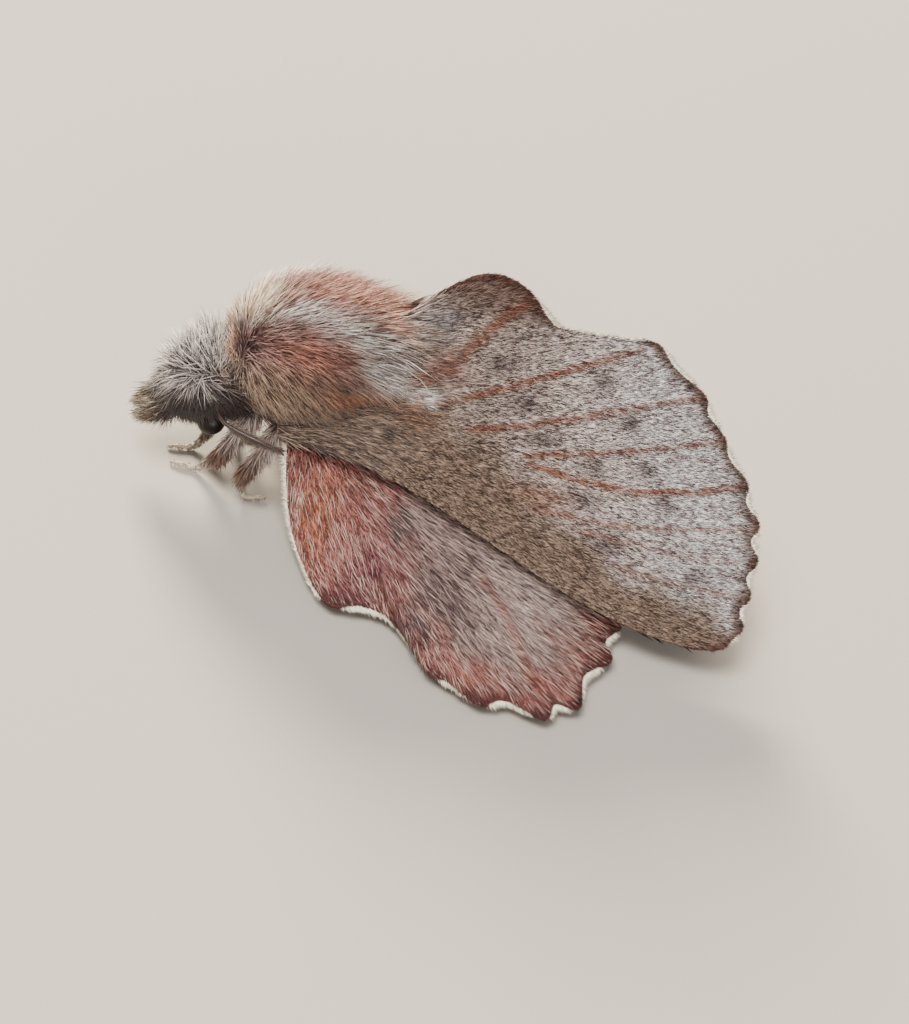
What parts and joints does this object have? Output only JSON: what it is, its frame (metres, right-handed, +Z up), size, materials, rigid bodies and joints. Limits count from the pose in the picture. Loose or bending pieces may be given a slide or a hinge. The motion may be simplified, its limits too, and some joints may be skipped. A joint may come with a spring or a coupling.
{
  "type": "lappet moth",
  "caption": "Life-size still model of a small furry lappet moth at rest, its scalloped forewings held as a roof over flat-spread hindwings.",
  "frame": {"origin": "the point on the floor below the middle of the whole moth's box", "axes": "+X from the head towards the tail, +Y towards the moth's right side, +Z up from the floor"},
  "size_m": [0.022, 0.0236, 0.0101],
  "materials": {
    "body_fur": "soft reddish-brown and pale grey fur",
    "head_fur": "dark grey-brown fur with pale tips",
    "eye": "glossy dark maroon, finely faceted",
    "antenna": "matt dark brown with pale comb tips",
    "forewing_scales": "matt grey-mauve and olive-brown scales with rust veins",
    "hindwing_scales": "matt maroon and grey-mauve scales with pale hairs",
    "leg_fur": "brown fur with pale cream fringes"
  },
  "bodies": {
    "root": {"thorax": "body_fur", "head": "head_fur", "abdomen": "body_fur", "eye_left": "eye", "eye_right": "eye", "palp_left": "head_fur", "palp_right": "head_fur", "antenna_left": "antenna", "antenna_right": "antenna", "forewing_left": "forewing_scales", "forewing_right": "forewing_scales", "hindwing_left": "hindwing_scales", "hindwing_right": "hindwing_scales", "foreleg_left": "leg_fur", "foreleg_right": "leg_fur", "midleg_left": "leg_fur", "midleg_right": "leg_fur", "hindleg_left": "leg_fur", "hindleg_right": "leg_fur"}
  },
  "joints": []
}
